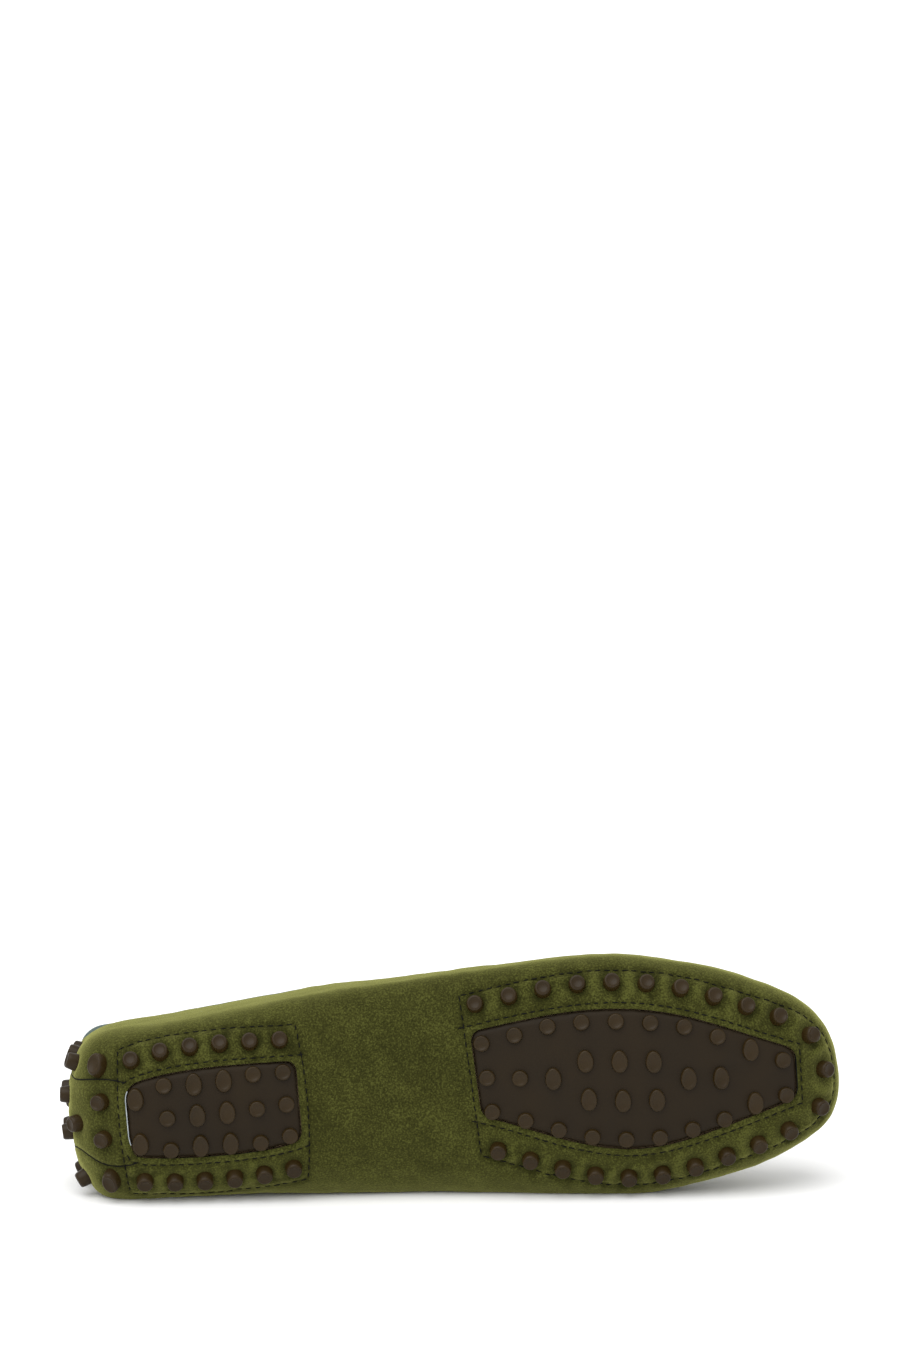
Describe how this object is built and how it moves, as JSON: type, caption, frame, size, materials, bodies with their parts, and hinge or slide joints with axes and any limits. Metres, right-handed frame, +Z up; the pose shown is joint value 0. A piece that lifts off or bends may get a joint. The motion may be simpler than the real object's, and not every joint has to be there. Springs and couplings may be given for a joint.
{
  "type": "driving loafer",
  "caption": "Right suede driving loafer lying on its inner side: hollow upper wrapped under the foot, studded rubber pads in windows, studs up the heel, tassels on the apron.",
  "frame": {"origin": "on the floor, under the middle of the lying shoe's box", "axes": "+X along the shoe from heel to toe, +Y from the sole towards the collar, +Z up from the floor, from the shoe's inner side to its outer side"},
  "size_m": [0.2942, 0.0796, 0.0902],
  "materials": {
    "suede": "olive-green suede, matt, short nap",
    "rubber": "dark-brown moulded rubber, satin",
    "footbed": "tan leather, smooth",
    "lace": "olive-green suede strip, matt",
    "thread": "black waxed thread"
  },
  "bodies": {
    "root": {"upper": "suede", "forefoot_sole": "rubber", "heel_sole": "rubber", "heel_back_studs": "rubber", "insole": "footbed", "tassel_knot": "lace", "tassel_rear": "lace", "tassel_front": "lace"}
  },
  "joints": []
}
